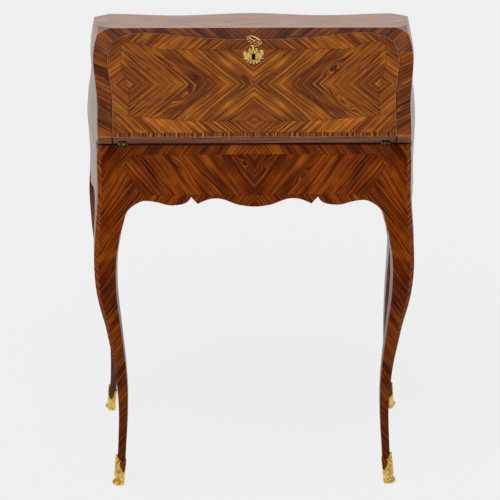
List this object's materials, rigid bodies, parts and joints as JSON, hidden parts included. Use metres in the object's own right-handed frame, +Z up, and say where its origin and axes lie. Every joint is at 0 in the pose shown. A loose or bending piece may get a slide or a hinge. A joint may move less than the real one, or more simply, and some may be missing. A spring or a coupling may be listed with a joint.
{
  "type": "writing desk",
  "caption": "Slant-front lady's writing desk in figured veneer on cabriole legs, with a hinged writing fall, gilt-bronze shoes and escutcheon, small drawers, pigeonholes and a covered well.",
  "frame": {"origin": "on the floor, under the middle of the desk's bounding box", "axes": "+X to the right as seen from the front, +Y to the back, +Z up"},
  "size_m": [0.706, 0.422, 0.9183],
  "materials": {
    "kingwood_veneer": "polished straight-grained veneer laid in matched lozenges and chevrons",
    "gilt_bronze": "cast and chased bronze, fire gilt, worn on the high points",
    "brass_fittings": "dull old brass",
    "steel_fittings": "darkened steel",
    "oak_carcass": "plain oak, oiled",
    "writing_leather": "skiver with a gilt tooled border"
  },
  "bodies": {
    "carcass": {"front_leg_left": "kingwood_veneer", "front_leg_right": "kingwood_veneer", "rear_leg_left": "kingwood_veneer", "rear_leg_right": "kingwood_veneer", "sabot_front_left": "gilt_bronze", "sabot_front_right": "gilt_bronze", "sabot_rear_left": "gilt_bronze", "sabot_rear_right": "gilt_bronze", "sabot_nails": "gilt_bronze", "front_apron": "kingwood_veneer", "side_panel_left": "kingwood_veneer", "side_panel_right": "kingwood_veneer", "back_panel": "kingwood_veneer", "top_board": "kingwood_veneer", "slope_stile_left": "kingwood_veneer", "slope_stile_right": "kingwood_veneer", "slope_rail": "kingwood_veneer", "strike_plate": "brass_fittings", "fall_stops": "oak_carcass", "bed_left": "kingwood_veneer", "bed_right": "kingwood_veneer", "bed_front": "kingwood_veneer", "bed_rear": "oak_carcass", "well_front_board": "oak_carcass", "well_back_board": "oak_carcass", "well_side_boards": "oak_carcass", "well_bottom": "oak_carcass", "unit_floor": "oak_carcass", "unit_shelf": "oak_carcass", "unit_back": "oak_carcass", "unit_cheeks": "oak_carcass", "unit_pilasters": "kingwood_veneer", "unit_partitions": "oak_carcass", "unit_uprights": "oak_carcass", "hinge_bed_leaves": "brass_fittings", "hinge_pins": "steel_fittings", "hinge_screws_bed": "steel_fittings"},
    "fall": {"fall_panel": "kingwood_veneer", "fall_leather": "writing_leather", "lock_case": "steel_fittings", "lock_screws": "steel_fittings", "escutcheon": "gilt_bronze", "hinge_fall_leaves": "brass_fittings", "hinge_screws_fall": "steel_fittings"},
    "bolt": {"lock_bolt": "steel_fittings"},
    "cover": {"well_cover": "kingwood_veneer"},
    "drawer_left": {"drawer_left_front": "kingwood_veneer", "drawer_left_sides": "oak_carcass", "drawer_left_back": "oak_carcass", "drawer_left_bottom": "oak_carcass", "drawer_left_knob": "gilt_bronze"},
    "drawer_right": {"drawer_right_front": "kingwood_veneer", "drawer_right_sides": "oak_carcass", "drawer_right_back": "oak_carcass", "drawer_right_bottom": "oak_carcass", "drawer_right_knob": "gilt_bronze"}
  },
  "joints": [
    {"name": "fall_hinge", "type": "hinge", "parent": "carcass", "child": "fall", "pos_m": [0, -0.19461, 0.72], "axis": [1, 0, 0], "range_deg": [0, 132]},
    {"name": "bolt_slide", "type": "slide", "parent": "fall", "child": "bolt", "axis": [0, 0.6691, 0.7431], "range_m": [0, 0.007]},
    {"name": "cover_slide", "type": "slide", "parent": "carcass", "child": "cover", "axis": [0, 1, 0], "range_m": [0, 0.11]},
    {"name": "drawer_left_slide", "type": "slide", "parent": "carcass", "child": "drawer_left", "axis": [0, -1, 0], "range_m": [0, 0.1]},
    {"name": "drawer_right_slide", "type": "slide", "parent": "carcass", "child": "drawer_right", "axis": [0, -1, 0], "range_m": [0, 0.1]}
  ]
}
